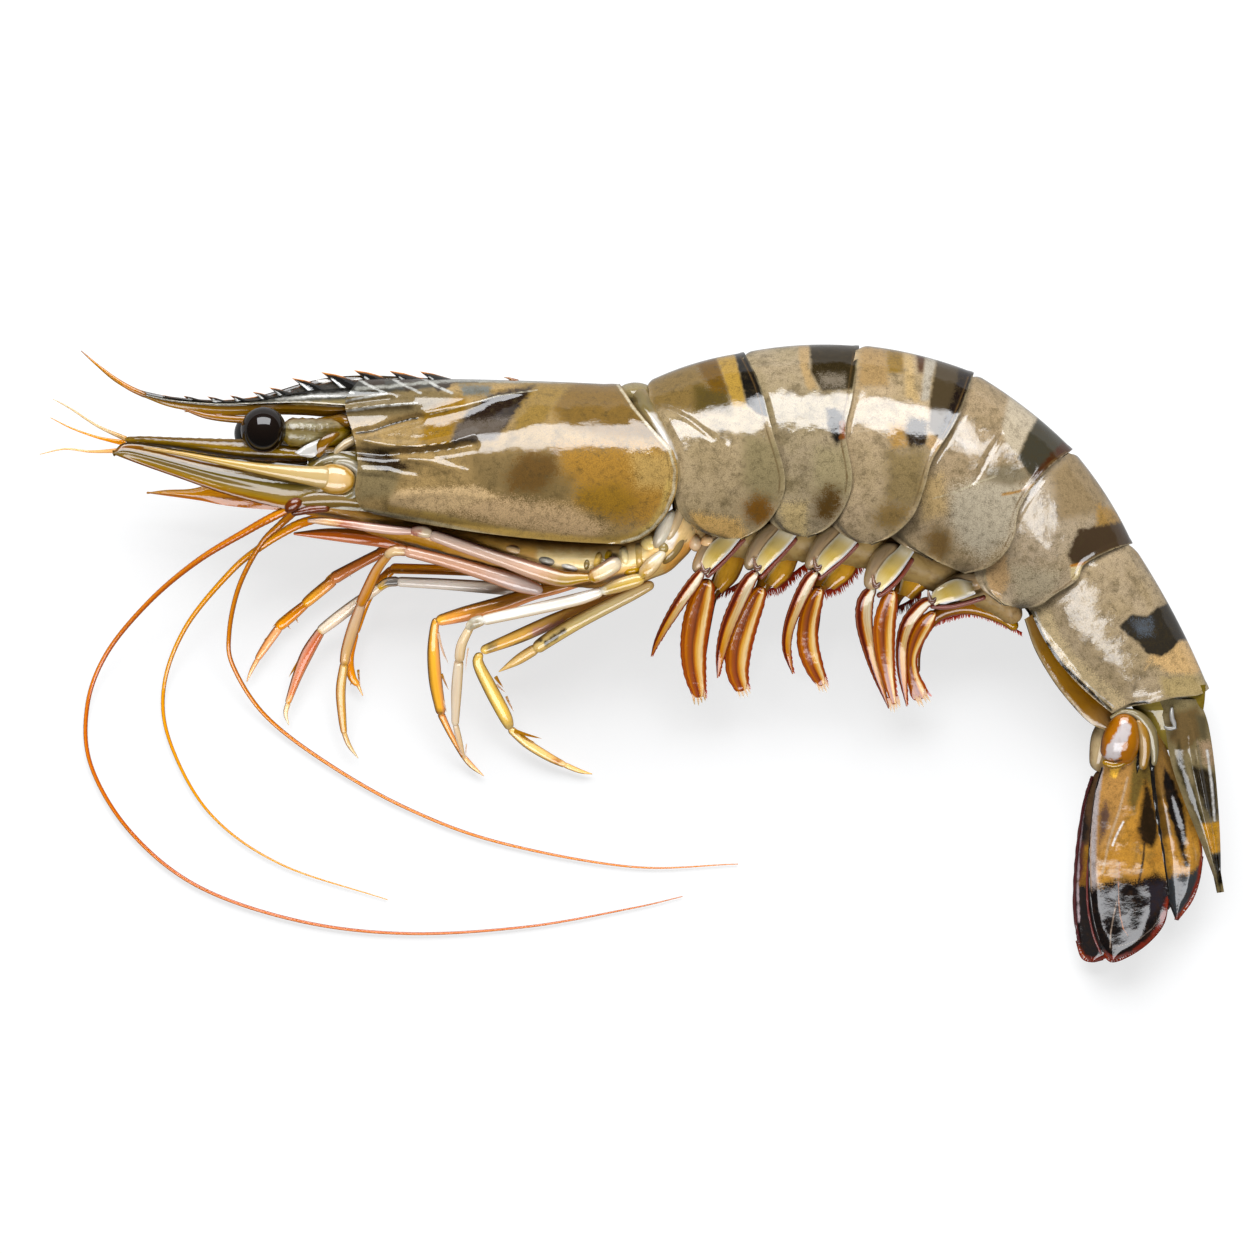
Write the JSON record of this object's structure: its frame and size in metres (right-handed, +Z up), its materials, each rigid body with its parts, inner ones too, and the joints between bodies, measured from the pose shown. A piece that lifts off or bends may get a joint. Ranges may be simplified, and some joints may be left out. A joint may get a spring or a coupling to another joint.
{
  "type": "raw tiger prawn",
  "caption": "Whole raw tiger prawn with head, legs, swimmerets, long feelers and tail fan, lying on its side with the back arched.",
  "frame": {"origin": "on the surface the prawn lies on, below the middle of its bounding box", "axes": "+Z up out of the surface, from the side it lies on to the side that shows; -X towards the head; +Y towards the arched back"},
  "size_m": [0.1777, 0.0931, 0.025],
  "materials": {
    "shell": "thin glossy wet shell, greige and olive with dark slanted bands and ochre stripes",
    "head_parts": "wet translucent shell, brown-gold with cream and olive lengthwise stripes",
    "eye": "polished wet black",
    "feeler": "wet orange to golden brown horn, semi-gloss",
    "flesh": "wet translucent beige-brown flesh",
    "leg": "wet translucent shell, cream and pink to amber",
    "swimmeret": "wet maroon and gold blades with cream stripes",
    "tail_fan": "wet ochre blades with black-purple ends and red-orange fringe"
  },
  "bodies": {
    "root": {"abdomen_1": "shell", "abdomen_2": "shell", "abdomen_3": "shell", "abdomen_4": "shell", "abdomen_5": "shell", "abdomen_6": "shell", "antenna_base_near": "head_parts", "antennal_scale_far": "head_parts", "antennal_scale_near": "head_parts", "antennule_far": "head_parts", "antennule_near": "head_parts", "belly": "flesh", "carapace": "shell", "eye_far": "eye", "eye_near": "eye", "eyestalk_far": "flesh", "eyestalk_near": "flesh", "feeler_1": "feeler", "feeler_2": "feeler", "feeler_3": "feeler", "flagellum_1": "feeler", "flagellum_2": "feeler", "flagellum_3": "feeler", "leg_1_far": "leg", "leg_1_near": "leg", "leg_2_far": "leg", "leg_2_near": "leg", "leg_3_far": "leg", "leg_3_near": "leg", "leg_4_near": "leg", "leg_5_near": "leg", "maxilliped_far": "leg", "maxilliped_near": "leg", "swimmeret_1_far": "swimmeret", "swimmeret_1_near": "swimmeret", "swimmeret_2_far": "swimmeret", "swimmeret_2_near": "swimmeret", "swimmeret_3_far": "swimmeret", "swimmeret_3_near": "swimmeret", "swimmeret_4_far": "swimmeret", "swimmeret_4_near": "swimmeret", "swimmeret_5_far": "swimmeret", "swimmeret_5_near": "swimmeret", "telson": "tail_fan", "thorax": "flesh", "uropod_endopod_far": "tail_fan", "uropod_endopod_near": "tail_fan", "uropod_exopod_far": "tail_fan", "uropod_exopod_near": "tail_fan", "uropod_stem_far": "tail_fan", "uropod_stem_near": "tail_fan", "waist": "flesh"}
  },
  "joints": []
}
